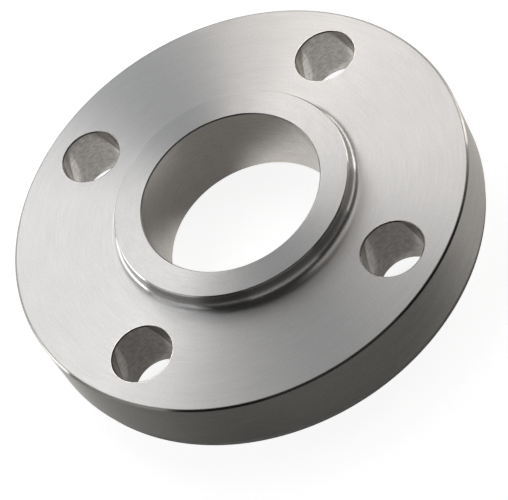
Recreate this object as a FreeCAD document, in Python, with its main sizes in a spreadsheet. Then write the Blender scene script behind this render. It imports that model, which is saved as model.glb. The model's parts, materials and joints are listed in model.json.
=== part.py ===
import FreeCAD, Part
import Sketcher
import os

# Slip-on pipe flange
#
# One forged steel ring, turned all over and drilled. A pipe slides into its bore from either
# side and is welded there. The low hub stands up on the bolting side, and the raised sealing
# face is on the other side, where a gasket bears on it.
#
# The origin is the centre of the sealing face, which is also the plane that the flange lies
# on. +Z runs along the bore towards the hub. The bolt holes straddle the X and Y axes, as pipe
# fitters set them.


# Driving dimensions, in millimetres

SIZES = [
    ("outer_diameter", 127.0, "outside of the ring"),
    ("plate_thickness", 16.9, "drilled ring, between the sealing side's step and the bolting face"),
    ("rim_edge_break", 0.5, "bevel on both edges of the rim"),
    ("bore_diameter", 49.7, "hole for the pipe, which is 48.3 across"),
    ("bore_edge_break", 0.3, "bevel at both mouths of the bore"),
    ("hub_diameter", 65.4, "outside of the low hub"),
    ("hub_height", 4.6, "hub above the bolting face"),
    ("hub_edge_break", 0.35, "bevel round the hub's end face"),
    ("hub_root_radius", 2.5, "hollow fillet between the hub and the bolting face"),
    ("sealing_face_diameter", 73.2, "raised face that the gasket bears on"),
    ("sealing_face_height", 1.6, "raised face beyond the drilled ring"),
    ("sealing_edge_break", 0.2, "bevel round the raised face"),
    ("sealing_root_radius", 0.8, "tool radius left in the step beside the raised face"),
    ("bolt_hole_count", 4, "bolt holes, evenly spaced"),
    ("bolt_hole_diameter", 16.5, "wall of each bolt hole"),
    ("bolt_hole_rim_land", 5.95, "steel left between each bolt hole's wall and the rim"),
    ("bolt_hole_edge_break", 0.25, "bevel at both mouths of each bolt hole"),
    ("drill_overrun", 1.0, "drill's travel beyond the steel on each side"),
]

# Places in the section, each worked out once from the sheet of sizes. The first group is
# distances from the bore's axis, and the second is heights above the sealing face.

BEVEL = "Sizes.bolt_hole_edge_break"
OVERRUN = "Sizes.drill_overrun"
RIM = "Sizes.outer_diameter / 2"
HOLE_WALL = RIM + " - Sizes.bolt_hole_rim_land"
HOLE_AXIS = HOLE_WALL + " - Sizes.bolt_hole_diameter / 2"
STEP = "Sizes.sealing_face_height"
BOLTING_FACE = STEP + " + Sizes.plate_thickness"

PLACES = {
    "bore_wall": "Sizes.bore_diameter / 2",
    "hub_wall": "Sizes.hub_diameter / 2",
    "sealing_edge": "Sizes.sealing_face_diameter / 2",
    "rim": RIM,
    "hole_axis": HOLE_AXIS,
    "hole_wall": HOLE_WALL,
    "drill_start_edge": HOLE_WALL + " + " + BEVEL + " + " + STEP + " + " + OVERRUN,
    "drill_end_edge": HOLE_WALL + " + " + BEVEL + " + " + OVERRUN,

    "sealing_face": "0",
    "step": STEP,
    "bolting_face": BOLTING_FACE,
    "hub_end": BOLTING_FACE + " + Sizes.hub_height",
    "drill_start": "-" + OVERRUN,
    "hole_wall_start": STEP + " + " + BEVEL,
    "hole_wall_end": BOLTING_FACE + " - " + BEVEL,
    "drill_end": BOLTING_FACE + " + " + OVERRUN,
}


# Document and its sheet

doc = FreeCAD.newDocument("PipeFlange")
sheet = doc.addObject("Spreadsheet::Sheet", "Sizes")
for row, (alias, size, meaning) in enumerate(SIZES, start=1):
    sheet.set("A%d" % row, alias)
    sheet.set("B%d" % row, str(size))
    sheet.set("C%d" % row, meaning)
    sheet.setAlias("B%d" % row, alias)
doc.recompute()


def place(word):
    """Distance or height of a named place, in millimetres."""
    return float(sheet.evalExpression(PLACES[word]))


# Helpers for sketches

def origin_feature(body, role):
    """The body's own origin plane or axis with this role."""
    for feature in body.Origin.OriginFeatures:
        if feature.Role == role:
            return feature
    raise ValueError("no origin feature " + role)


def section_sketch(body, name, corners):
    """A closed outline of straight lines on the body's XZ plane, through named places.

    Line i starts at corner i and ends at the next corner. Each place is dimensioned once,
    from the sketch's origin, and every later corner at the same place is kept in line with
    the first one.
    """
    sketch = body.newObject("Sketcher::SketchObject", name)
    sketch.AttachmentSupport = [(origin_feature(body, "XZ_Plane"), "")]
    sketch.MapMode = "FlatFace"

    points = [FreeCAD.Vector(place(across), place(up), 0) for across, up in corners]
    following = points[1:] + points[:1]
    for start, end in zip(points, following):
        sketch.addGeometry(Part.LineSegment(start, end), False)
    for i in range(len(corners)):
        after = (i + 1) % len(corners)
        sketch.addConstraint(Sketcher.Constraint("Coincident", i, 2, after, 1))

    for column, distance, in_line in ((0, "DistanceX", "Vertical"), (1, "DistanceY", "Horizontal")):
        first_corner = {}
        for i, corner in enumerate(corners):
            word = corner[column]
            if word in first_corner:
                sketch.addConstraint(Sketcher.Constraint(in_line, first_corner[word], 1, i, 1))
                continue
            first_corner[word] = i
            if PLACES[word] == "0":
                sketch.addConstraint(Sketcher.Constraint("PointOnObject", i, 1, -1))
                continue
            index = sketch.addConstraint(Sketcher.Constraint(distance, -1, 1, i, 1, place(word)))
            sketch.renameConstraint(index, word)
            sketch.setExpression("Constraints." + word, PLACES[word])
    return sketch


# Helper for edge breaks and fillets

def circles(shape, radius, height):
    """Names of the shape's edges that are circles about Z with this radius and height."""
    centre = FreeCAD.Vector(0, 0, height)
    names = []
    for number, edge in enumerate(shape.Edges, start=1):
        curve = edge.Curve
        if isinstance(curve, Part.Circle) and curve.Center.isEqual(centre, 1e-6):
            if abs(curve.Radius - radius) < 1e-6:
                names.append("Edge%d" % number)
    if not names:
        raise ValueError("no edge of radius %.3f at height %.3f" % (radius, height))
    return names


def dress(body, kind, name, corners, size_name, size):
    """Bevel or fillet the body's circular edges at these corners of its section."""
    base = body.Tip
    feature = body.newObject("PartDesign::" + kind, name)
    edges = []
    for across, up in corners:
        edges.extend(circles(base.Shape, place(across), place(up)))
    feature.Base = (base, edges)
    feature.setExpression(size_name, size)
    doc.recompute()


# Ring with its hub and raised face, turned from one forging

flange = doc.addObject("PartDesign::Body", "Flange")
flange.Label = "flange"

ring_section = section_sketch(flange, "RingSection", [
    ("bore_wall", "sealing_face"),
    ("sealing_edge", "sealing_face"),
    ("sealing_edge", "step"),
    ("rim", "step"),
    ("rim", "bolting_face"),
    ("hub_wall", "bolting_face"),
    ("hub_wall", "hub_end"),
    ("bore_wall", "hub_end"),
])

ring = flange.newObject("PartDesign::Revolution", "Ring")
ring.Profile = ring_section
ring.ReferenceAxis = (ring_section, ["V_Axis"])
ring.Angle = 360
doc.recompute()

# Each root fillet stays on the wall that it leans on, below that wall's bevel
HUB_FILLET = "min(Sizes.hub_root_radius; 0.95 * (Sizes.hub_height - Sizes.hub_edge_break))"
STEP_FILLET = "min(Sizes.sealing_root_radius; 0.95 * (" + STEP + " - Sizes.sealing_edge_break))"

dress(flange, "Fillet", "HubRoot", [("hub_wall", "bolting_face")], "Radius", HUB_FILLET)
dress(flange, "Fillet", "StepRoot", [("sealing_edge", "step")], "Radius", STEP_FILLET)
dress(flange, "Chamfer", "RimEdges", [("rim", "step"), ("rim", "bolting_face")],
      "Size", "Sizes.rim_edge_break")
dress(flange, "Chamfer", "HubEdge", [("hub_wall", "hub_end")],
      "Size", "Sizes.hub_edge_break")
dress(flange, "Chamfer", "SealingEdge", [("sealing_edge", "sealing_face")],
      "Size", "Sizes.sealing_edge_break")
dress(flange, "Chamfer", "BoreMouths", [("bore_wall", "sealing_face"), ("bore_wall", "hub_end")],
      "Size", "Sizes.bore_edge_break")
turned_volume = flange.Shape.Volume


# Bolt holes, drilled through and bevelled at both mouths
#
# The outline is half of what one drill takes away: a straight wall that opens at 45 degrees
# at either mouth, and keeps opening until it is clear of the steel. The last line of the
# outline lies on the hole's axis. The bolt circle follows the rim, because each hole leaves
# the same land of steel outside it.

drill_section = section_sketch(flange, "DrillSection", [
    ("hole_axis", "drill_start"),
    ("drill_start_edge", "drill_start"),
    ("hole_wall", "hole_wall_start"),
    ("hole_wall", "hole_wall_end"),
    ("drill_end_edge", "drill_end"),
    ("hole_axis", "drill_end"),
])

# Turned about the bore by half the pitch between two holes, so that the holes straddle X and Y
HALF_PITCH = "180 / Sizes.bolt_hole_count"
drill_section.AttachmentOffset = FreeCAD.Placement(
    FreeCAD.Vector(0, 0, 0),
    FreeCAD.Rotation(FreeCAD.Vector(0, 1, 0), sheet.evalExpression(HALF_PITCH)))
drill_section.setExpression("AttachmentOffset.Rotation.Angle", HALF_PITCH)
doc.recompute()

bolt_hole = flange.newObject("PartDesign::Groove", "BoltHole")
bolt_hole.Profile = drill_section
bolt_hole.ReferenceAxis = (drill_section, ["Edge6"])
bolt_hole.Angle = 360
doc.recompute()
hole_volume = turned_volume - flange.Shape.Volume

bolt_holes = flange.newObject("PartDesign::PolarPattern", "BoltHoles")
bolt_holes.Originals = [bolt_hole]
bolt_holes.Axis = (origin_feature(flange, "Z_Axis"), [""])
bolt_holes.Angle = 360
bolt_holes.setExpression("Occurrences", "Sizes.bolt_hole_count")
flange.Tip = bolt_holes
doc.recompute()
drilled_volume = turned_volume - flange.Shape.Volume


# Checks

for obj in doc.Objects:
    if "Invalid" in obj.State or "Error" in obj.State:
        raise RuntimeError("%s has failed: %s" % (obj.Name, obj.State))
for sketch in (ring_section, drill_section):
    if not sketch.FullyConstrained:
        raise RuntimeError(sketch.Name + " is not fully constrained")
shape = flange.Shape
if shape.isNull() or not shape.isValid() or len(shape.Solids) != 1:
    raise RuntimeError("the flange is not one valid solid")
if hole_volume <= 0 or abs(drilled_volume - hole_volume * bolt_holes.Occurrences) > 1:
    raise RuntimeError("a bolt hole has cut too little")

print("turned ring %.0f mm3, each bolt hole takes %.0f mm3" % (turned_volume, hole_volume))
print("flange %.0f mm3, %.2f mm high" % (shape.Volume, shape.BoundBox.ZLength))
print("bolt circle %.2f mm across" % (2 * place("hole_axis")))


# Hand over

os.makedirs("parts", exist_ok=True)
shape.exportStep("parts/" + flange.Label + ".step")
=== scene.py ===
# %% [markdown]
# # A slip-on pipe flange
#
# The real thing is one forged steel ring that has been turned all over in a lathe and then
# drilled. This lesson rebuilds its surface finely enough for close pictures, gives each
# surface the marks of the tool that cut it, and lights it as a product on a pale floor.
#
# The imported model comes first, because every size below is read from it.

import json
import math

import bmesh
import bpy
import numpy as np
from mathutils import Matrix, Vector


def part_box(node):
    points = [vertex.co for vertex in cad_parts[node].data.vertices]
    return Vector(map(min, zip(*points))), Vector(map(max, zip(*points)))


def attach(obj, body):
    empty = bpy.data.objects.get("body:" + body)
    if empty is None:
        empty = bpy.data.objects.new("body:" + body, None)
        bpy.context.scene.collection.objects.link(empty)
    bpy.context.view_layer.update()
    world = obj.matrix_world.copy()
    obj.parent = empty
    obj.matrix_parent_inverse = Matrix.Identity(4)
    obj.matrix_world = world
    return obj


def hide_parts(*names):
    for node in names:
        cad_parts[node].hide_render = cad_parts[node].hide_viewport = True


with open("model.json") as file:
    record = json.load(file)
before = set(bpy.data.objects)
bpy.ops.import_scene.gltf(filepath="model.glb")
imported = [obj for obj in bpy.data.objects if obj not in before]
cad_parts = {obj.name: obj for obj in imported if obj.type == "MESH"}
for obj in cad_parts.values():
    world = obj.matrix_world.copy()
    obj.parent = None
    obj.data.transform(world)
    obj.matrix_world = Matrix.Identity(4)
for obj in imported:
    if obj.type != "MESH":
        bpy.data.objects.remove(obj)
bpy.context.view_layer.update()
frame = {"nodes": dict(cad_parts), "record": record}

MM = 0.001
DEGREE = math.pi / 180


# %% [markdown]
# ## Reading the section
#
# A turned part is known by its section: radii and heights. The record states the bore, the
# bolt circle and the flat faces. The other radii, the bevels and the fillets are measured on
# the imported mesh, whose corner points lie exactly on the real surfaces. They could be typed in
# again here, but sizes that are read keep this surface on the solid that it stands for.

# %% Sizes that the record states
mounts = {mount["name"]: mount for mount in frame["record"]["mounts"]}
BORE = mounts["bore"]["dims"]["r_mm"] * MM
HOLE = mounts["bolt_circle"]["dims"]["hole_r_mm"] * MM
HOLE_COUNT = mounts["bolt_circle"]["dims"]["count"]
BOLT_CIRCLE = mounts["bolt_circle"]["dims"]["pcd_mm"] / 2 * MM
BOLTING_FACE = mounts["bolting_face"]["pos_m"][2]
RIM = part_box("flange")[1].x
HUB_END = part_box("flange")[1].z
QUARTER = 2 * math.pi / HOLE_COUNT
print("rim %.2f, bore %.2f, %d holes of %.2f on a circle of %.2f mm radius"
      % (RIM / MM, BORE / MM, HOLE_COUNT, HOLE / MM, BOLT_CIRCLE / MM))

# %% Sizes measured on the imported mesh
packed = frame["nodes"]["flange"].data
packed_points = np.empty(len(packed.vertices) * 3)
packed.vertices.foreach_get("co", packed_points)
packed_points = packed_points.reshape(-1, 3)
packed_radius = np.hypot(packed_points[:, 0], packed_points[:, 1])
packed_height = packed_points[:, 2]
NEAR = 0.001 * MM


def radii_at(height):
    """Distances from the bore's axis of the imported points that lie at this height."""
    return packed_radius[abs(packed_height - height) < NEAR]


def heights_at(radius):
    """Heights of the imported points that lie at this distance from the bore's axis."""
    return packed_height[abs(packed_radius - radius) < NEAR]


HUB = packed_radius[packed_height > (BOLTING_FACE + HUB_END) / 2].max()
HUB_ROOT = radii_at(BOLTING_FACE).min() - HUB
HUB_BEVEL = HUB_END - heights_at(HUB).max()
RIM_BEVEL = BOLTING_FACE - heights_at(RIM).max()
STEP = heights_at(RIM).min() - RIM_BEVEL
BORE_BEVEL = heights_at(BORE).min()
SEALING = packed_radius[packed_height < STEP / 2].max()
SEALING_BEVEL = heights_at(SEALING).min()
SEALING_ROOT = radii_at(STEP).min() - SEALING
diagonal = BOLT_CIRCLE * math.cos(QUARTER / 2)
from_hole = np.hypot(abs(packed_points[:, 0]) - diagonal, abs(packed_points[:, 1]) - diagonal)
HOLE_BEVEL = packed_height[abs(from_hole - HOLE) < NEAR].min() - STEP
print("hub radius %.2f, root %.2f, bevel %.2f mm"
      % (HUB / MM, HUB_ROOT / MM, HUB_BEVEL / MM))
print("sealing face radius %.2f, root %.2f, bevel %.2f, step %.2f mm"
      % (SEALING / MM, SEALING_ROOT / MM, SEALING_BEVEL / MM, STEP / MM))
print("bevels of rim %.2f, bore %.2f and holes %.2f mm"
      % (RIM_BEVEL / MM, BORE_BEVEL / MM, HOLE_BEVEL / MM))


# %% [markdown]
# ## Edges that are never quite sharp
#
# A file takes the sharpness off every edge, and a cutter leaves a round in every inside corner.
# So the section is drawn as straight runs joined by small arcs. Each arc touches both of its
# runs. A point close beside each end of an arc keeps the shading of the straight runs straight,
# which a Bevel modifier could do too, but then the tool lines would lose their place.

# %% Outline with rounded corners
SOFTENED = 0.07 * MM
GUARD = 0.02 * MM


def rounded(corners, radii, steps):
    """Points along straight runs whose inner corners are arcs with this many steps each.

    At a corner with the turn t between its runs, an arc of radius r starts r tan(t / 2) before
    the corner. A point at the angle a along it is
    start + r sin(a) along + r (1 - cos(a)) inward.
    """
    corners = np.asarray(corners, float)
    pieces = [corners[:1]]
    runs = zip(corners, corners[1:], corners[2:], radii, steps)
    for before, corner, after, radius, count in runs:
        along = (corner - before) / np.linalg.norm(corner - before)
        onward = (after - corner) / np.linalg.norm(after - corner)
        turn = math.acos(np.clip(along @ onward, -1, 1))
        inward = onward - (onward @ along) * along
        inward /= np.linalg.norm(inward)
        start = corner - along * radius * math.tan(turn / 2)
        angle = np.linspace(0, turn, count + 1)[:, None]
        arc = start + radius * (np.sin(angle) * along + (1 - np.cos(angle)) * inward)
        pieces += [arc[:1] - along * GUARD, arc, arc[-1:] + onward * GUARD]
    pieces.append(corners[-1:])
    return np.concatenate(pieces)


# %% [markdown]
# ## The turned sections
#
# The bolt holes only meet the two flat faces of the ring. Everything else is swept round the
# bore's axis from a section of (radius, height) points, so it is made as two sweeps: one from
# the bolting face over the hub and down the bore to the step beside the sealing face, and one
# over the rim.

# %% Sections of hub, bore, sealing face and rim
LAP = 10 * GUARD
inner_section = rounded(
    [(HUB + HUB_ROOT + GUARD, BOLTING_FACE), (HUB, BOLTING_FACE),
     (HUB, HUB_END - HUB_BEVEL), (HUB - HUB_BEVEL, HUB_END),
     (BORE + BORE_BEVEL, HUB_END), (BORE, HUB_END - BORE_BEVEL),
     (BORE, BORE_BEVEL), (BORE + BORE_BEVEL, 0),
     (SEALING - SEALING_BEVEL, 0), (SEALING, SEALING_BEVEL),
     (SEALING, STEP), (SEALING + SEALING_ROOT + GUARD, STEP)],
    [HUB_ROOT] + [SOFTENED] * 8 + [SEALING_ROOT],
    [16] + [3] * 8 + [8])
rim_section = rounded(
    [(RIM - RIM_BEVEL - LAP, STEP), (RIM - RIM_BEVEL, STEP), (RIM, STEP + RIM_BEVEL),
     (RIM, BOLTING_FACE - RIM_BEVEL), (RIM - RIM_BEVEL, BOLTING_FACE),
     (RIM - RIM_BEVEL - LAP, BOLTING_FACE)],
    [SOFTENED] * 4, [3] * 4)
FLAT_START = inner_section[0, 0]
STEP_START = inner_section[-1, 0]
FLAT_END = rim_section[0, 0]
print("the inner section has", len(inner_section), "points and the rim's has", len(rim_section))


# %% [markdown]
# ## The sealing face's spiral
#
# A gasket needs something to bite on, so this face is cut at a coarse feed with a round-nosed
# tool, and keeps a shallow spiral groove. A bump texture could show it, but at 0.05 mm deep it
# catches the light as a real shape, so it is part of the mesh.

# %% Spiral groove
GROOVE_PITCH = 0.8 * MM
GROOVE_DEPTH = 0.05 * MM
GROOVE_FADE = 0.4 * MM
ROWS_PER_GROOVE = 6
on_sealing_face = np.flatnonzero(inner_section[:, 1] < NEAR)
GROOVES_START = inner_section[on_sealing_face[0], 0] + GROOVE_FADE
GROOVES_END = inner_section[on_sealing_face[-1], 0] - GROOVE_FADE
groove_rows = int((GROOVES_END - GROOVES_START) / GROOVE_PITCH * ROWS_PER_GROOVE)
row_radii = np.linspace(GROOVES_START, GROOVES_END, groove_rows)
rows = np.stack([row_radii, 0 * row_radii], axis=1)
inner_section = np.concatenate([inner_section[:on_sealing_face[1] + 1], rows,
                                inner_section[on_sealing_face[-2]:]])


def with_groove(points):
    """Press the spiral groove into the sealing face.

    The place across one turn of the spiral, from 0 at a ridge to 1 at the next, is
    u = radius / pitch - angle / 2 pi  without its whole part. The face is cut in by
    depth (1 - (2 u - 1)^2),  and less than that near the face's two edges.
    """
    radius = np.hypot(points[..., 0], points[..., 1])
    turns = np.arctan2(points[..., 1], points[..., 0]) / (2 * math.pi)
    across = (radius / GROOVE_PITCH - turns) % 1
    from_edge = np.minimum(radius - GROOVES_START, GROOVES_END - radius)
    fade = np.clip(from_edge / GROOVE_FADE, 0, 1) * (points[..., 2] < NEAR)
    cut = points.copy()
    cut[..., 2] += fade * GROOVE_DEPTH * (1 - (2 * across - 1) ** 2)
    return cut


print("%d rows of points carry %.1f turns of the groove"
      % (groove_rows, (GROOVES_END - GROOVES_START) / GROOVE_PITCH))


# %% [markdown]
# ## Patches
#
# A patch is a closed grid of points. Its rows follow a section and its columns go round an
# axis. Each point also carries what the material needs later: how far the tool had fed when it
# cut there, which way the tool was moving, and how finely the surface was finished.

# %% Sweep a section round an axis
COLUMNS = 256
SECTOR = COLUMNS // HOLE_COUNT
column_angles = np.arange(COLUMNS) * 2 * math.pi / COLUMNS


def swept(section, angles, centre=(0.0, 0.0)):
    """Sweep a section of (radius, height) points round a vertical axis.

    The point of row i and column j is  centre + radius_i (cos a_j, sin a_j)  at height_i. The
    tool had fed as far as the section is long up to row i, and it moved along
    (-sin a_j, cos a_j, 0). The fineness is  sin(2 t)^2  where the section is tilted by t, so it
    is 1 on a bevel, and 0 on a flat face and on an upright wall.
    """
    cos, sin = np.cos(angles), np.sin(angles)
    shape = (len(section), len(angles))
    points = np.empty(shape + (3,))
    points[..., 0] = centre[0] + section[:, :1] * cos
    points[..., 1] = centre[1] + section[:, :1] * sin
    points[..., 2] = section[:, 1:]
    length = np.linalg.norm(np.diff(section, axis=0), axis=1).cumsum()
    feed = np.broadcast_to(np.append(0, length)[:, None], shape)
    lay = np.broadcast_to(np.stack([-sin, cos, 0 * cos], axis=-1), points.shape)
    along = np.gradient(section, axis=0)
    tilt = np.arctan2(abs(along[:, 1]), abs(along[:, 0]))
    fine = np.broadcast_to(np.sin(2 * tilt)[:, None] ** 2, shape)
    return points, feed, lay, fine


def closed_grid(row_count, column_count):
    """Corner numbers of the faces of a grid whose last column joins its first.

    The corners run along the columns first, so the normal is  columns x rows.
    """
    row, column = np.meshgrid(np.arange(row_count - 1), np.arange(column_count), indexing="ij")
    following = (column + 1) % column_count
    corners = [row * column_count + column, row * column_count + following,
               (row + 1) * column_count + following, (row + 1) * column_count + column]
    return np.stack(corners, axis=-1).reshape(-1, 4)


print(COLUMNS, "columns go round the bore,", SECTOR, "of them to each bolt hole")


# %% [markdown]
# ## Flat faces with holes in them
#
# Round each bolt hole the flat face is one quarter of a ring with a round hole in it. Lines
# are drawn from the hole's edge to the quarter's edge, and loops cross them that change from
# the one outline to the other. In polar coordinates the quarter is a plain rectangle, so
# lines that are straight there never cross, and on the real face they bend round the hub.

# %% Outline of one quarter
SIDE = 32


def quarter_edge(inner, outer):
    """One quarter's outline as (radius, angle) rows, anticlockwise from the rim.

    It runs along the outer arc, down one side, back along the inner arc and up the other side.
    """
    arc = (np.arange(SECTOR) / SECTOR - 0.5) * QUARTER
    reach = np.arange(SIDE) / SIDE
    return np.concatenate([
        np.stack([np.full(SECTOR, outer), arc], axis=1),
        np.stack([outer + (inner - outer) * reach, np.full(SIDE, QUARTER / 2)], axis=1),
        np.stack([np.full(SECTOR, inner), -arc], axis=1),
        np.stack([inner + (outer - inner) * reach, np.full(SIDE, -QUARTER / 2)], axis=1)])


edge = quarter_edge(FLAT_START, FLAT_END)
hole_angles = np.arctan2(edge[:, 1] * BOLT_CIRCLE, edge[:, 0] - BOLT_CIRCLE)
print(len(hole_angles), "lines leave each hole")

# %% Flat quarter and drilled wall
# Places along a line. They lie close together at both ends, where the bevels begin, so that
# the face between is shaded as flat.
SHARES = np.array([0, 0.003, 0.03, 0.12, 0.3, 0.5, 0.7, 0.88, 0.97, 0.997, 1])[:, None, None]
MOUTH = HOLE + HOLE_BEVEL + LAP


def flat_quarter(inner, height, turn):
    """One quarter of a flat face, from the radius inner to the rim, round its bolt hole.

    The point at the share s of a line is  (1 - s) mouth + s edge,  where both ends are
    (radius, angle), turned to its place round the bore.
    """
    x = BOLT_CIRCLE + MOUTH * np.cos(hole_angles)
    y = MOUTH * np.sin(hole_angles)
    mouth = np.stack([np.hypot(x, y), np.arctan2(y, x)], axis=1)
    polar = (1 - SHARES) * mouth + SHARES * quarter_edge(inner, FLAT_END)
    radius, angle = polar[..., 0], polar[..., 1] + turn
    cos, sin = np.cos(angle), np.sin(angle)
    points = np.stack([radius * cos, radius * sin, np.full(radius.shape, height)], axis=-1)
    return points, radius, np.stack([-sin, cos, 0 * cos], axis=-1), 0 * radius


hole_section = rounded(
    [(MOUTH, BOLTING_FACE), (HOLE + HOLE_BEVEL, BOLTING_FACE),
     (HOLE, BOLTING_FACE - HOLE_BEVEL), (HOLE, STEP + HOLE_BEVEL),
     (HOLE + HOLE_BEVEL, STEP), (MOUTH, STEP)],
    [SOFTENED] * 4, [3] * 4)
print("the drilled section has", len(hole_section), "points")


# %% [markdown]
# ## One closed skin
#
# All the patches meet along shared rows of points. They are welded there into one mesh that
# encloses the steel with no gap. Its volume is printed, to be set against the imported solid's.
#
# The hub's wall and root are formed by the round nose of the tool in one slow pass, and the
# bevels by a light last cut, so they come out smoother than the wide faces. The number called
# fine says where: 1 there, and 0 on the faces. The material makes the steel smoother by it, and
# darker by a painted shade, for the dark lines that these edges mirror. More materials could do
# that too, but then the change would have a hard edge.

# %% All the patches
TURNED, HUB_TURNED, RIM_TURNED, BORED, DRILLED = range(5)


def on_hub(points):
    """Fineness of the hub's side: 1 on its wall, and  1 - (1 - height / root)^6  in its root."""
    radius = np.hypot(points[..., 0], points[..., 1])
    rise = np.clip((points[..., 2] - BOLTING_FACE) / HUB_ROOT, 0, 1)
    return np.where(radius > HUB - HUB_BEVEL + GUARD, 1 - (1 - rise) ** 6, 0)


def patches():
    """Every patch: points, feed, lay, fineness, corner numbers of its faces, finish of each."""
    points, feed, lay, fine = swept(inner_section, column_angles)
    faces = closed_grid(*feed.shape)
    radius, height = (inner_section[1:] + inner_section[:-1]).T / 2
    finish = np.full(len(radius), TURNED)
    finish[height > HUB_END - SOFTENED / 2] = HUB_TURNED
    finish[radius < BORE + BORE_BEVEL] = BORED
    fine = np.maximum(fine, on_hub(points))
    yield with_groove(points), feed, lay, fine, faces, np.repeat(finish, COLUMNS)

    points, feed, lay, fine = swept(rim_section, column_angles)
    faces = closed_grid(*feed.shape)
    yield points, feed, lay, fine, faces, np.full(len(faces), RIM_TURNED)

    for turn in (np.arange(HOLE_COUNT) + 0.5) * QUARTER:
        centre = (BOLT_CIRCLE * math.cos(turn), BOLT_CIRCLE * math.sin(turn))
        points, feed, lay, fine = swept(hole_section, hole_angles + turn, centre)
        faces = closed_grid(*feed.shape)
        yield points, feed, lay, fine, faces, np.full(len(faces), DRILLED)
        points, feed, lay, fine = flat_quarter(FLAT_START, BOLTING_FACE, turn)
        faces = closed_grid(*feed.shape)[:, ::-1]
        yield points, feed, lay, fine, faces, np.full(len(faces), TURNED)
        points, feed, lay, fine = flat_quarter(STEP_START, STEP, turn)
        faces = closed_grid(*feed.shape)
        yield points, feed, lay, fine, faces, np.full(len(faces), TURNED)


# %% Weld the patches
def put(skin, name, kind, field, values):
    """Store one value for each face corner of the skin, as an attribute of this name."""
    attribute = skin.attributes.new(name, kind, "CORNER")
    attribute.data.foreach_set(field, np.concatenate(values).astype(np.float32).ravel())


def weld(name):
    """Join all patches into one mesh, with points closer than NEAR made one."""
    points, faces, numbers, feeds, lays, fines, offset = [], [], [], [], [], [], 0
    for patch, feed, lay, fine, corners, number in patches():
        points.append(patch.reshape(-1, 3))
        faces.append(corners + offset)
        numbers.append(number)
        feeds.append(feed.reshape(-1)[corners])
        lays.append(lay.reshape(-1, 3)[corners])
        fines.append(fine.reshape(-1)[corners])
        offset += len(points[-1])
    skin = bpy.data.meshes.new(name)
    skin.from_pydata(np.concatenate(points), [], np.concatenate(faces))
    skin.polygons.foreach_set("material_index", np.concatenate(numbers).astype(np.int32))
    put(skin, "feed", "FLOAT", "value", feeds)
    put(skin, "lay", "FLOAT_VECTOR", "vector", lays)
    put(skin, "fine", "FLOAT", "value", fines)
    work = bmesh.new()
    work.from_mesh(skin)
    bmesh.ops.remove_doubles(work, verts=work.verts, dist=NEAR)
    print("open edges:", sum(not edge.is_manifold for edge in work.edges),
          " volume: %.0f mm3" % (work.calc_volume(signed=True) / MM ** 3))
    work.to_mesh(skin)
    work.free()
    skin.polygons.foreach_set("use_smooth", np.ones(len(skin.polygons), bool))
    return skin


flange = bpy.data.objects.new("turned_flange", weld("turned_flange"))
bpy.context.scene.collection.objects.link(flange)
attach(flange, "root")
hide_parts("flange")
print("triangles:", 2 * len(flange.data.polygons))


# %% [markdown]
# ## Tool marks
#
# A turning tool leaves one fine line for each turn of the work. The lines differ a little in
# depth, and the metal tears slightly along each of them. Both come from one noise pattern that
# is stretched: it changes quickly along the feed and slowly round the axis. An image could show
# it too, but a pattern that reads the feed stays sharp from any distance.
#
# The group puts out a height in metres for a Bump node, and a tone between 0 and 1 that varies
# the colour and the roughness. The tone has the lines, broad bands of them, and a noise that is
# the same in all directions, for the grain of the metal. All five finishes use the group, each
# with its own Pitch, Depth and Grain.

# %% Node group for tool marks
def add_node(tree, kind, place, **settings):
    """Add a node at a place in the tree, with its properties set."""
    node = tree.nodes.new(kind)
    node.location = place
    for key, value in settings.items():
        setattr(node, key, value)
    return node


def stretched_noise(tree, lines, around, place, detail):
    """Noise whose cells are one line wide along the feed and long round the axis."""
    join = add_node(tree, "ShaderNodeCombineXYZ", place)
    split = add_node(tree, "ShaderNodeSeparateXYZ", (place[0] - 180, place[1] - 120))
    tree.links.new(around, split.inputs["Vector"])
    tree.links.new(lines, join.inputs["X"])
    tree.links.new(split.outputs["X"], join.inputs["Y"])
    tree.links.new(split.outputs["Y"], join.inputs["Z"])
    noise = add_node(tree, "ShaderNodeTexNoise", (place[0] + 180, place[1]))
    noise.inputs["Scale"].default_value = 1
    noise.inputs["Detail"].default_value = detail
    tree.links.new(join.outputs["Vector"], noise.inputs["Vector"])
    return noise.outputs["Fac"]


def calculate(tree, operation, first, second, place):
    """Add a Math node. Its inputs are sockets or plain numbers."""
    node = add_node(tree, "ShaderNodeMath", place, operation=operation)
    for socket, value in zip(node.inputs, (first, second)):
        if isinstance(value, bpy.types.NodeSocket):
            tree.links.new(value, socket)
        else:
            socket.default_value = value
    return node.outputs["Value"]


GRAIN = 0.5 * MM
BANDS_PER_LINE = 0.11
BAND_SHARE = 0.3
TONE_FROM, TONE_TO = 0.3, 1.0


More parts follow.
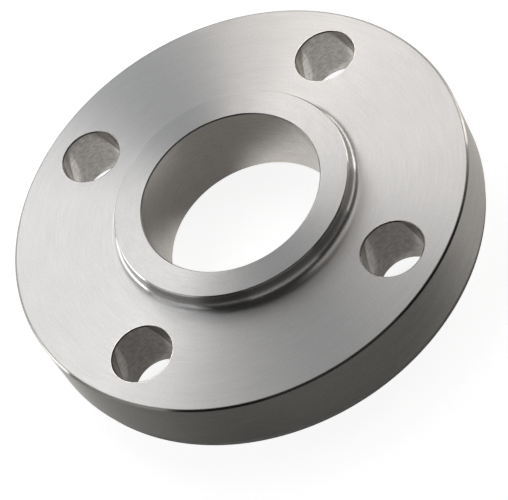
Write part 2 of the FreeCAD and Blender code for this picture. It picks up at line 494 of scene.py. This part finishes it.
def build_tool_marks():
    """The node group: Feed, Lay, Pitch, Depth, Tears and Grain in, Height and Tone out."""
    tree = bpy.data.node_groups.new("tool marks", "ShaderNodeTree")
    tree.interface.new_socket("Lay", in_out="INPUT", socket_type="NodeSocketVector")
    numbers = {"Feed": 0, "Pitch": 0.2 * MM, "Depth": 0.001 * MM, "Tears": 6, "Grain": 1}
    for name, value in numbers.items():
        socket = tree.interface.new_socket(name, in_out="INPUT", socket_type="NodeSocketFloat")
        socket.default_value = value
    for name in ("Height", "Tone"):
        tree.interface.new_socket(name, in_out="OUTPUT", socket_type="NodeSocketFloat")
    inputs = add_node(tree, "NodeGroupInput", (-900, 0)).outputs
    outputs = add_node(tree, "NodeGroupOutput", (700, 0)).inputs

    around = add_node(tree, "ShaderNodeVectorMath", (-640, -160), operation="SCALE")
    tree.links.new(inputs["Lay"], around.inputs[0])
    tree.links.new(inputs["Tears"], around.inputs["Scale"])
    lines = calculate(tree, "DIVIDE", inputs["Feed"], inputs["Pitch"], (-640, 100))
    fine = stretched_noise(tree, lines, around.outputs["Vector"], (-240, 200), 2)
    bands = calculate(tree, "MULTIPLY", lines, BANDS_PER_LINE, (-460, -320))
    broad = stretched_noise(tree, bands, around.outputs["Vector"], (-240, -260), 1)
    height = calculate(tree, "MULTIPLY", fine, inputs["Depth"], (260, 160))
    tree.links.new(height, outputs["Height"])

    spot = add_node(tree, "ShaderNodeTexCoord", (-460, -560))
    grain = add_node(tree, "ShaderNodeTexNoise", (-240, -560))
    grain.inputs["Scale"].default_value = 1 / GRAIN
    grain.inputs["Detail"].default_value = 1
    tree.links.new(spot.outputs["Object"], grain.inputs["Vector"])
    faint = calculate(tree, "MULTIPLY", broad, BAND_SHARE, (-60, -160))
    mixed = calculate(tree, "ADD", fine, faint, (100, -60))
    centred = calculate(tree, "SUBTRACT", grain.outputs["Fac"], 0.5, (-60, -560))
    grained = calculate(tree, "MULTIPLY", centred, inputs["Grain"], (100, -560))
    mixed = calculate(tree, "ADD", mixed, grained, (260, -60))
    contrast = add_node(tree, "ShaderNodeMapRange", (440, -60))
    contrast.inputs["From Min"].default_value = TONE_FROM
    contrast.inputs["From Max"].default_value = TONE_TO
    tree.links.new(mixed, contrast.inputs["Value"])
    tree.links.new(contrast.outputs["Result"], outputs["Tone"])
    return tree


tool_marks = build_tool_marks()
print("the tool marks group has", len(tool_marks.nodes), "nodes")


# %% [markdown]
# ## Steel, one finish for each tool
#
# Bare steel takes all its looks from what it reflects. Lines cut round the axis spread a
# reflection across them and hardly along them, so a faced surface shows bright and dark fans.
# The Principled shader does this with Anisotropic, and its Tangent follows the lay that the
# mesh carries. Roughness says how much each tool blurs the reflection.
#
# A boring tool and a drill burnish the walls that they cut. These walls also face each other,
# so each of them mirrors the floor below and the wall across from it, and the two pictures meet
# in a wedge of light. A rougher wall would lose that and look painted.

# %% Steel material
BLUR_SPREAD = 0.03
QUARTER_TURN = 0.25


def steel(name, light, dark, roughness, anisotropy, pitch, depth,
          fine_roughness, fine_painted_shade, grain=1):
    """Steel between two tones of colour, with lines of this pitch and depth in metres.

    Where the skin is fine, it has its own roughness, and a painted shade darkens it by its given
    share, for the dark lines that its edges mirror. The grain is the share of the metal's even
    grain in its tone.
    """
    material = bpy.data.materials.new(name)
    material.use_nodes = True
    tree = material.node_tree
    shader = tree.nodes["Principled BSDF"]
    shader.inputs["Metallic"].default_value = 1
    shader.inputs["Anisotropic"].default_value = anisotropy
    shader.inputs["Anisotropic Rotation"].default_value = QUARTER_TURN

    feed = add_node(tree, "ShaderNodeAttribute", (-1100, 100), attribute_name="feed")
    lay = add_node(tree, "ShaderNodeAttribute", (-1100, -100), attribute_name="lay")
    marks = add_node(tree, "ShaderNodeGroup", (-850, 0), node_tree=tool_marks)
    marks.inputs["Pitch"].default_value = pitch
    marks.inputs["Depth"].default_value = depth
    marks.inputs["Grain"].default_value = grain
    tree.links.new(feed.outputs["Fac"], marks.inputs["Feed"])
    tree.links.new(lay.outputs["Vector"], marks.inputs["Lay"])
    tree.links.new(lay.outputs["Vector"], shader.inputs["Tangent"])

    tone = add_node(tree, "ShaderNodeMix", (-500, 300), data_type="RGBA")
    tone.inputs["A"].default_value = (*dark, 1)
    tone.inputs["B"].default_value = (*light, 1)
    tree.links.new(marks.outputs["Tone"], tone.inputs["Factor"])
    fine = add_node(tree, "ShaderNodeAttribute", (-850, -260), attribute_name="fine").outputs["Fac"]
    # Painted shade: where the skin is fine, its colour is mixed toward black by this share.
    shade = calculate(tree, "MULTIPLY", fine, fine_painted_shade, (-500, 120))
    shaded = add_node(tree, "ShaderNodeMix", (-260, 300), data_type="RGBA")
    shaded.inputs["B"].default_value = (0, 0, 0, 1)
    tree.links.new(shade, shaded.inputs["Factor"])
    tree.links.new(tone.outputs["Result"], shaded.inputs["A"])
    tree.links.new(shaded.outputs["Result"], shader.inputs["Base Color"])

    blur = add_node(tree, "ShaderNodeMapRange", (-500, -60))
    blur.inputs["To Min"].default_value = roughness + BLUR_SPREAD
    blur.inputs["To Max"].default_value = roughness - BLUR_SPREAD
    tree.links.new(marks.outputs["Tone"], blur.inputs["Value"])
    smooth = add_node(tree, "ShaderNodeMix", (-260, -60), data_type="FLOAT")
    smooth.inputs["B"].default_value = fine_roughness
    tree.links.new(fine, smooth.inputs["Factor"])
    tree.links.new(blur.outputs["Result"], smooth.inputs["A"])
    tree.links.new(smooth.outputs["Result"], shader.inputs["Roughness"])

    bump = add_node(tree, "ShaderNodeBump", (-260, -260))
    bump.inputs["Distance"].default_value = 1
    tree.links.new(marks.outputs["Height"], bump.inputs["Height"])
    tree.links.new(bump.outputs["Normal"], shader.inputs["Normal"])
    return material


# %% Finishes of the flange
# The hub's and the rim's tones are darker than the face's, though they are one steel: painted
# shade. It is deepest on the rim, where it stands for the shaded floor that the rim mirrors.
finishes = {
    TURNED: steel("faced steel", light=(0.575, 0.56, 0.545), dark=(0.505, 0.49, 0.48),
                  roughness=0.37, anisotropy=0.9, pitch=0.22 * MM, depth=0.0012 * MM,
                  fine_roughness=0.22, fine_painted_shade=0.1),
    HUB_TURNED: steel("hub steel", light=(0.505, 0.49, 0.48), dark=(0.44, 0.43, 0.42),
                      roughness=0.34, anisotropy=0.88, pitch=0.22 * MM, depth=0.0012 * MM,
                      fine_roughness=0.12, fine_painted_shade=0.3),
    RIM_TURNED: steel("rim steel", light=(0.40, 0.385, 0.36), dark=(0.34, 0.325, 0.305),
                      roughness=0.5, anisotropy=0.88, pitch=0.25 * MM, depth=0.001 * MM,
                      fine_roughness=0.15, fine_painted_shade=0.3),
    BORED: steel("bored steel", light=(0.62, 0.585, 0.545), dark=(0.54, 0.51, 0.475),
                 roughness=0.24, anisotropy=0.9, pitch=0.6 * MM, depth=0.002 * MM,
                 fine_roughness=0.3, fine_painted_shade=0.65),
    DRILLED: steel("drilled steel", light=(0.56, 0.53, 0.50), dark=(0.31, 0.295, 0.275),
                   roughness=0.13, anisotropy=0.9, pitch=0.8 * MM, depth=0.004 * MM,
                   fine_roughness=0.25, fine_painted_shade=0.65, grain=0),
}
for number in sorted(finishes):
    flange.data.materials.append(finishes[number])
print("finishes:", [material.name for material in flange.data.materials])


# %% [markdown]
# ## Camera
#
# The camera looks down at the bolting face from a little right of the front, through a long
# lens, and is rolled so that the flange leans in the frame. A direction is worked out from an
# azimuth and an elevation, and the same helper places the lamps.

# %% Camera
CAMERA_AZIMUTH = -78.35 * DEGREE
CAMERA_ELEVATION = 50.44 * DEGREE
CAMERA_ROLL = -31.92 * DEGREE
CAMERA_DISTANCE = 644.7 * MM
CAMERA_AIM = np.array([0.9, -17.8, 18.5]) * MM
LENS = 176.6


def direction(azimuth, elevation):
    """Unit vector out from the origin: (cos e cos a, cos e sin a, sin e)."""
    return np.array([math.cos(elevation) * math.cos(azimuth),
                     math.cos(elevation) * math.sin(azimuth), math.sin(elevation)])


def facing(place, back, roll=0.0):
    """Matrix of a camera or lamp at a place, which looks away from the vector back.

    Its level direction is  up x back,  and both its cross axes are turned by roll about back.
    """
    level = np.cross((0, 0, 1), back)
    level /= np.linalg.norm(level)
    upright = np.cross(back, level)
    matrix = np.eye(4)
    matrix[:3, 0] = math.cos(roll) * level + math.sin(roll) * upright
    matrix[:3, 1] = math.cos(roll) * upright - math.sin(roll) * level
    matrix[:3, 2] = back
    matrix[:3, 3] = place
    return Matrix(matrix.tolist())


toward_camera = direction(CAMERA_AZIMUTH, CAMERA_ELEVATION)
camera = bpy.data.objects.new("camera", bpy.data.cameras.new("camera"))
bpy.context.scene.collection.objects.link(camera)
camera.data.sensor_width = 36
camera.data.lens = LENS
camera.data.clip_start = 0.01
camera_place = CAMERA_AIM + CAMERA_DISTANCE * toward_camera
camera.matrix_world = facing(camera_place, toward_camera, CAMERA_ROLL)
bpy.context.scene.camera = camera
print("camera at", [round(v / MM) for v in camera.matrix_world.translation], "mm")


# %% [markdown]
# ## Soft light from behind
#
# Faced steel is lit by what stands behind it as the camera sees it. Two tall softboxes, with a
# dimmer one between them straight behind, put the bright fans to the left and the right and
# leave the darker ones between. Two low ones light the hub's root and the rim's edge on either
# side, and dim ones beside and above them open up the sides. The front stays dark, so the
# bevels that face the camera read as dark lines. The one box there is dim and low, and lights
# the faces when they are seen from behind.
#
# One large soft lamp would be simpler, but it would lie over the whole face and flatten it.

# %% Softboxes
LAMP_DISTANCE = 1.2


def softbox(name, azimuth, elevation, width, height, brightness, color):
    """A soft lamp that faces the flange. Azimuth is counted from straight behind it, to the left.

    Brightness is what a mirror would show of it, so its power is  brightness pi width height.
    """
    lamp = bpy.data.lights.new(name, "AREA")
    lamp.shape = "RECTANGLE"
    lamp.size, lamp.size_y = width, height
    lamp.energy = brightness * math.pi * width * height
    lamp.color = color
    box = bpy.data.objects.new(name, lamp)
    bpy.context.scene.collection.objects.link(box)
    back = direction(CAMERA_AZIMUTH + math.pi + azimuth * DEGREE, elevation * DEGREE)
    box.matrix_world = facing(back * LAMP_DISTANCE, back)
    box.visible_camera = False
    return box


COOL = (0.95, 0.975, 1.0)
COOLER = (0.85, 0.925, 1.0)
WARM = (1.0, 0.975, 0.955)

# Azimuth, elevation, width, height, brightness and colour
softboxes = [
    softbox("tall softbox left", 16.5, 32, 0.33, 1.2, 3.0, COOL),
    softbox("tall softbox right", -15, 28, 0.34, 1.1, 2.8, WARM),
    softbox("softbox between", 1, 20, 0.25, 0.8, 1.4, COOLER),
    softbox("low softbox left", 52, 8, 0.80, 0.35, 4.4, COOL),
    softbox("low softbox right", -56, 6, 0.90, 0.24, 3.2, WARM),
    softbox("side softbox left", 90, 25, 0.80, 0.8, 0.7, COOL),
    softbox("side softbox right", -88, 7, 0.90, 0.25, 1.2, WARM),
    softbox("high softbox left", 58, 50, 0.50, 0.7, 0.7, COOL),
    softbox("high softbox right", -55, 50, 0.50, 0.7, 1.0, WARM),
    softbox("top softbox right", -80, 68, 0.80, 0.6, 0.6, WARM),
    softbox("front softbox", 180, 21, 1.30, 0.28, 0.6, WARM)]
print("%d softboxes of %.1f watts in all"
      % (len(softboxes), sum(box.data.energy for box in softboxes)))


# %% [markdown]
# ## Pale floor
#
# The floor is matt and pale, and glows, as a sheet on a light table does. It is nearly white
# beside the flange and white further out. The glow is added only for rays that come from the
# camera, from a glossy surface or through glass. So the picture and the steel both see a pale
# sheet, and the flange's shadow stays on it. Seen from below the sheet is clear.
#
# A wide plane would do for the sheet, but the pieces of it that lie under the flange, and below
# its bore and bolt holes, need materials of their own.

# %% Floor
FLOOR_REACH = 4.0
FLOOR_DROP = 0.02 * MM
FOOTPRINT = RIM - RIM_BEVEL
BORE_DISC = BORE + 2 * MM
HOLE_DISC = HOLE + 1.5 * MM
PALE, BELOW_BORE, BELOW_HOLES, COVERED = range(4)


def build_floor(name):
    """A wide ring, a disc inside it, and discs just above that, below the bore and each hole.

    A corner of a disc is  centre + radius (cos a, sin a),  and the attribute called own keeps
    its  (cos a, sin a).
    """
    section = np.array([(FLOOR_REACH, -FLOOR_DROP), (FOOTPRINT, -FLOOR_DROP)])
    ring = swept(section, column_angles)[0].reshape(-1, 3)
    discs = [(0, 0, FOOTPRINT, FLOOR_DROP), (0, 0, BORE_DISC, FLOOR_DROP / 2)]
    for turn in (np.arange(HOLE_COUNT) + 0.5) * QUARTER:
        discs.append((BOLT_CIRCLE * math.cos(turn), BOLT_CIRCLE * math.sin(turn),
                      HOLE_DISC, FLOOR_DROP / 2))
    points, owns, faces = [ring], [0 * ring], closed_grid(2, COLUMNS).tolist()
    circle = np.stack([np.cos(column_angles), np.sin(column_angles), 0 * column_angles], axis=1)
    for number, (x, y, radius, drop) in enumerate(discs):
        points.append(np.array([x, y, -drop]) + radius * circle)
        owns.append(circle)
        faces.append(list(range((number + 2) * COLUMNS, (number + 3) * COLUMNS)))
    sheet = bpy.data.meshes.new(name)
    sheet.from_pydata(np.concatenate(points).tolist(), [], faces)
    own = sheet.attributes.new("own", "FLOAT_VECTOR", "POINT")
    own.data.foreach_set("vector", np.concatenate(owns).astype(np.float32).ravel())
    kinds = [COVERED, BELOW_BORE] + [BELOW_HOLES] * HOLE_COUNT
    for face, kind in zip(sheet.polygons[COLUMNS:], kinds):
        face.material_index = kind
    return sheet


floor = bpy.data.objects.new("floor", build_floor("floor"))
bpy.context.scene.collection.objects.link(floor)
print("the floor has", len(floor.data.polygons), "faces, and its normals point up:",
      all(face.normal.z > 0 for face in floor.data.polygons))


# %% [markdown]
# ## What the steel sees of the floor
#
# The steel sees only a share of the glow, and less of it in front of the flange than behind:
# a painted shade on the sheet, which only reflections show. The discs below the bore and the bolt
# holes have shares of their own, because those walls get most of their light from them. A gain
# across each disc paints brighter and darker streaks into the glow, and the walls mirror them as
# painted reflections. The rest of the floor under the flange is covered, and doesn't glow.
#
# Cards laid round the flange could shade it too, as in a studio, but they would cast shadows on
# the sheet and show in the other views.

# %% Ramps for the floor and the room
def ramp(tree, value, start, end, level_before, level_after, place):
    """Add a Map Range node that goes smoothly from one level to another."""
    node = add_node(tree, "ShaderNodeMapRange", place, interpolation_type="SMOOTHSTEP")
    node.inputs["From Min"].default_value = start
    node.inputs["From Max"].default_value = end
    node.inputs["To Min"].default_value = level_before
    node.inputs["To Max"].default_value = level_after
    tree.links.new(value, node.inputs["Value"])
    return node.outputs["Result"]


def distance_along(tree, vector, axis, place):
    """Add a Dot Product node: how far a place lies in the direction of an axis."""
    node = add_node(tree, "ShaderNodeVectorMath", place, operation="DOT_PRODUCT")
    node.inputs[1].default_value = axis
    tree.links.new(vector, node.inputs[0])
    return node.outputs["Value"]


# %% Shares of the glow that the steel sees
# Painted shade: the share of the glow that the steel sees, lower in front of the flange.
def painted_shade_along(tree, axis, start, end, level_before, level_after):
    """A share that changes along an axis of the floor, between two distances from the bore."""
    spot = add_node(tree, "ShaderNodeTexCoord", (-1400, -300)).outputs["Object"]
    forth = distance_along(tree, spot, axis, (-1200, -300))
    return ramp(tree, forth, start, end, level_before, level_after, (-1000, -300))


# Painted streaks: the gain paints brighter and darker streaks into the discs' glow, which the
# bore's and the holes' walls mirror.
def painted_streaks_beside(tree, axis, line, start, end, level_at_line, level_away):
    """A gain that changes with the distance, both ways along an axis, from a line on a disc.

    It counts on the disc's own scale, which goes from -1 to 1.
    """
    own = add_node(tree, "ShaderNodeAttribute", (-1400, -600), attribute_name="own")
    forth = distance_along(tree, own.outputs["Vector"], axis, (-1200, -600))
    forth = calculate(tree, "SUBTRACT", forth, line, (-1200, -800))
    aside = calculate(tree, "ABSOLUTE", forth, 0, (-1000, -800))
    return ramp(tree, aside, start, end, level_at_line, level_away, (-1000, -550))


# %% Floor material
FLOOR_COLOR = (0.4, 0.4, 0.4, 1)
GLOW_NEAR = 0.87
GLOW_FAR = 1.0
GLOW_START = 2 * RIM
GLOW_END = 12 * RIM


def clear_where(tree, see_through, surface):
    """Put the surface on the material's output, mixed with a clear one."""
    clear = add_node(tree, "ShaderNodeBsdfTransparent", (0, -60))
    mix = add_node(tree, "ShaderNodeMixShader", (200, 100))
    tree.links.new(see_through, mix.inputs["Fac"])
    tree.links.new(surface, mix.inputs[1])
    tree.links.new(clear.outputs["BSDF"], mix.inputs[2])
    tree.links.new(mix.outputs["Shader"], tree.nodes["Material Output"].inputs["Surface"])


def new_floor_material(name):
    """A material with the floor's matt grey: itself, its tree and the matt surface."""
    material = bpy.data.materials.new(name)
    material.use_nodes = True
    tree = material.node_tree
    tree.nodes.remove(tree.nodes["Principled BSDF"])
    matt = add_node(tree, "ShaderNodeBsdfDiffuse", (-200, 200))
    matt.inputs["Color"].default_value = FLOOR_COLOR
    return material, tree, matt.outputs["BSDF"]


def glowing_floor(name, share, gain=None):
    """Matt grey plus a glow, of which the steel sees a share, times the gain if there is one."""
    material, tree, matt = new_floor_material(name)
    path = add_node(tree, "ShaderNodeLightPath", (-1000, 0)).outputs
    # The painted shade and the painted streaks reach glossy rays only.
    mirrored = painted_shade_along(tree, **share)
    if gain:
        more = painted_streaks_beside(tree, **gain)
        mirrored = calculate(tree, "MULTIPLY", mirrored, more, (-800, -300))
    mirrored = calculate(tree, "MULTIPLY", path["Is Glossy Ray"], mirrored, (-800, -100))
    full = calculate(tree, "MAXIMUM", path["Is Camera Ray"], path["Is Transmission Ray"],
                     (-800, 100))
    seen = calculate(tree, "MAXIMUM", full, mirrored, (-600, 0))

    spot = add_node(tree, "ShaderNodeTexCoord", (-1400, 300)).outputs["Object"]
    away = add_node(tree, "ShaderNodeVectorMath", (-1200, 300), operation="LENGTH")
    tree.links.new(spot, away.inputs[0])
    glow = ramp(tree, away.outputs["Value"], GLOW_START, GLOW_END, GLOW_NEAR, GLOW_FAR,
                (-1000, 300))
    light = add_node(tree, "ShaderNodeEmission", (-200, 0))
    tree.links.new(calculate(tree, "MULTIPLY", seen, glow, (-400, 0)), light.inputs["Strength"])
    both = add_node(tree, "ShaderNodeAddShader", (0, 100))
    tree.links.new(matt, both.inputs[0])
    tree.links.new(light.outputs["Emission"], both.inputs[1])
    below = add_node(tree, "ShaderNodeNewGeometry", (-200, 400)).outputs["Backfacing"]
    clear_where(tree, below, both.outputs["Shader"])
    return material


def covered_floor(name):
    """Matt grey to the camera from above, and clear to all other rays."""
    material, tree, matt = new_floor_material(name)
    path = add_node(tree, "ShaderNodeLightPath", (-400, 600)).outputs
    unseen = calculate(tree, "SUBTRACT", 1.0, path["Is Camera Ray"], (-200, 600))
    below = add_node(tree, "ShaderNodeNewGeometry", (-200, 400)).outputs["Backfacing"]
    clear_where(tree, calculate(tree, "MAXIMUM", below, unseen, (0, 400)), matt)
    return material


# %% Floor materials in their places
PALER_SIDE = 20 * DEGREE
FAR_RIGHT = 145 * DEGREE
forward = direction(CAMERA_AZIMUTH - PALER_SIDE, 0)
sideways = direction(CAMERA_AZIMUTH + math.pi / 2, 0)
far_right = direction(CAMERA_AZIMUTH + FAR_RIGHT, 0)
# Painted shade in the glow that the steel sees: the whole glow behind, 17 percent of it in front,
# and from 68 down to 20 percent on the discs.
outer_painted_shade = dict(axis=forward, start=0.3 * RIM, end=RIM, level_before=1.0, level_after=0.17)
inner_painted_shade = dict(axis=forward, start=-0.8 * RIM, end=0.8 * RIM,
                   level_before=0.68, level_after=0.20)
# Painted streaks: gains across the discs, low along a line and higher away from it.
bore_painted_streaks = dict(axis=sideways, line=-0.15, start=0.2, end=0.7,
                 level_at_line=0.33, level_away=1.65)
hole_painted_streaks = dict(axis=far_right, line=-1, start=1.46, end=1.56,
                 level_at_line=0.95, level_away=1.6)
floor_materials = {
    PALE: glowing_floor("pale floor", outer_painted_shade),
    BELOW_BORE: glowing_floor("floor below the bore", inner_painted_shade, bore_painted_streaks),
    BELOW_HOLES: glowing_floor("floor below the holes", inner_painted_shade, hole_painted_streaks),
    COVERED: covered_floor("covered floor")}
for number in sorted(floor_materials):
    floor.data.materials.append(floor_materials[number])
print("the floor's materials:", [material.name for material in floor.data.materials])


# %% [markdown]
# ## The room
#
# The world stands in for the rest of the room. Pale walls reach a little above the horizon,
# paler in front of the flange than behind it, and the room above them is dark. Steel needs
# both: the low walls draw a thin light line on every edge that turns past them, and the dark
# room draws the black beside it. Below the horizon the world is bright, and less so straight
# down. That lights the sealing face when it is seen from below.
#
# An image of a studio could do all this, but a few ramps over the direction of a ray are
# enough. The camera itself sees plain white wherever the floor ends.

# %% World
WALL_LEVEL = 0.24
WALL_TOP = 0.4
BEHIND = 0.2
ROOM_LEVEL = 0.03
UNDER_LEVEL = 1.3
NADIR_LEVEL = 0.15
NADIR, UNDER = -0.9, -0.2
BACK, FRONT = -0.6, 0.3


def build_room():
    """The world: pale walls, dark above, light from below, and plain white to the camera."""
    world = bpy.data.worlds.new("room")
    world.use_nodes = True
    tree = world.node_tree
    outward = add_node(tree, "ShaderNodeTexCoord", (-1200, 0)).outputs["Generated"]
    split = add_node(tree, "ShaderNodeSeparateXYZ", (-1000, 0))
    tree.links.new(outward, split.inputs["Vector"])
    wall = ramp(tree, split.outputs["Z"], 0, WALL_TOP, WALL_LEVEL, 0, (-800, 100))
    toward = distance_along(tree, outward, direction(CAMERA_AZIMUTH, 0), (-1000, -300))
    front = ramp(tree, toward, BACK, FRONT, BEHIND, 1, (-800, -300))
    wall = calculate(tree, "MULTIPLY", wall, front, (-600, 0))
    under = ramp(tree, split.outputs["Z"], NADIR, UNDER, NADIR_LEVEL, UNDER_LEVEL, (-800, -100))
    lower_half = calculate(tree, "LESS_THAN", split.outputs["Z"], 0.0, (-800, -500))
    under = calculate(tree, "MULTIPLY", under, lower_half, (-600, -200))
    wall = calculate(tree, "MAXIMUM", wall, under, (-400, 0))
    lit = calculate(tree, "ADD", wall, ROOM_LEVEL, (-200, 0))
    path = add_node(tree, "ShaderNodeLightPath", (-400, 300))
    other = calculate(tree, "SUBTRACT", 1.0, path.outputs["Is Camera Ray"], (-200, 300))
    lit = calculate(tree, "MULTIPLY", lit, other, (0, 0))
    lit = calculate(tree, "ADD", lit, path.outputs["Is Camera Ray"], (160, 100))
    tree.links.new(lit, tree.nodes["Background"].inputs["Strength"])
    tree.nodes["Background"].inputs["Color"].default_value = (1, 1, 1, 1)
    return world


bpy.context.scene.world = build_room()
bpy.context.scene.view_settings.view_transform = "Standard"
print("the walls reach", round(math.degrees(math.asin(WALL_TOP))), "degrees above the horizon")
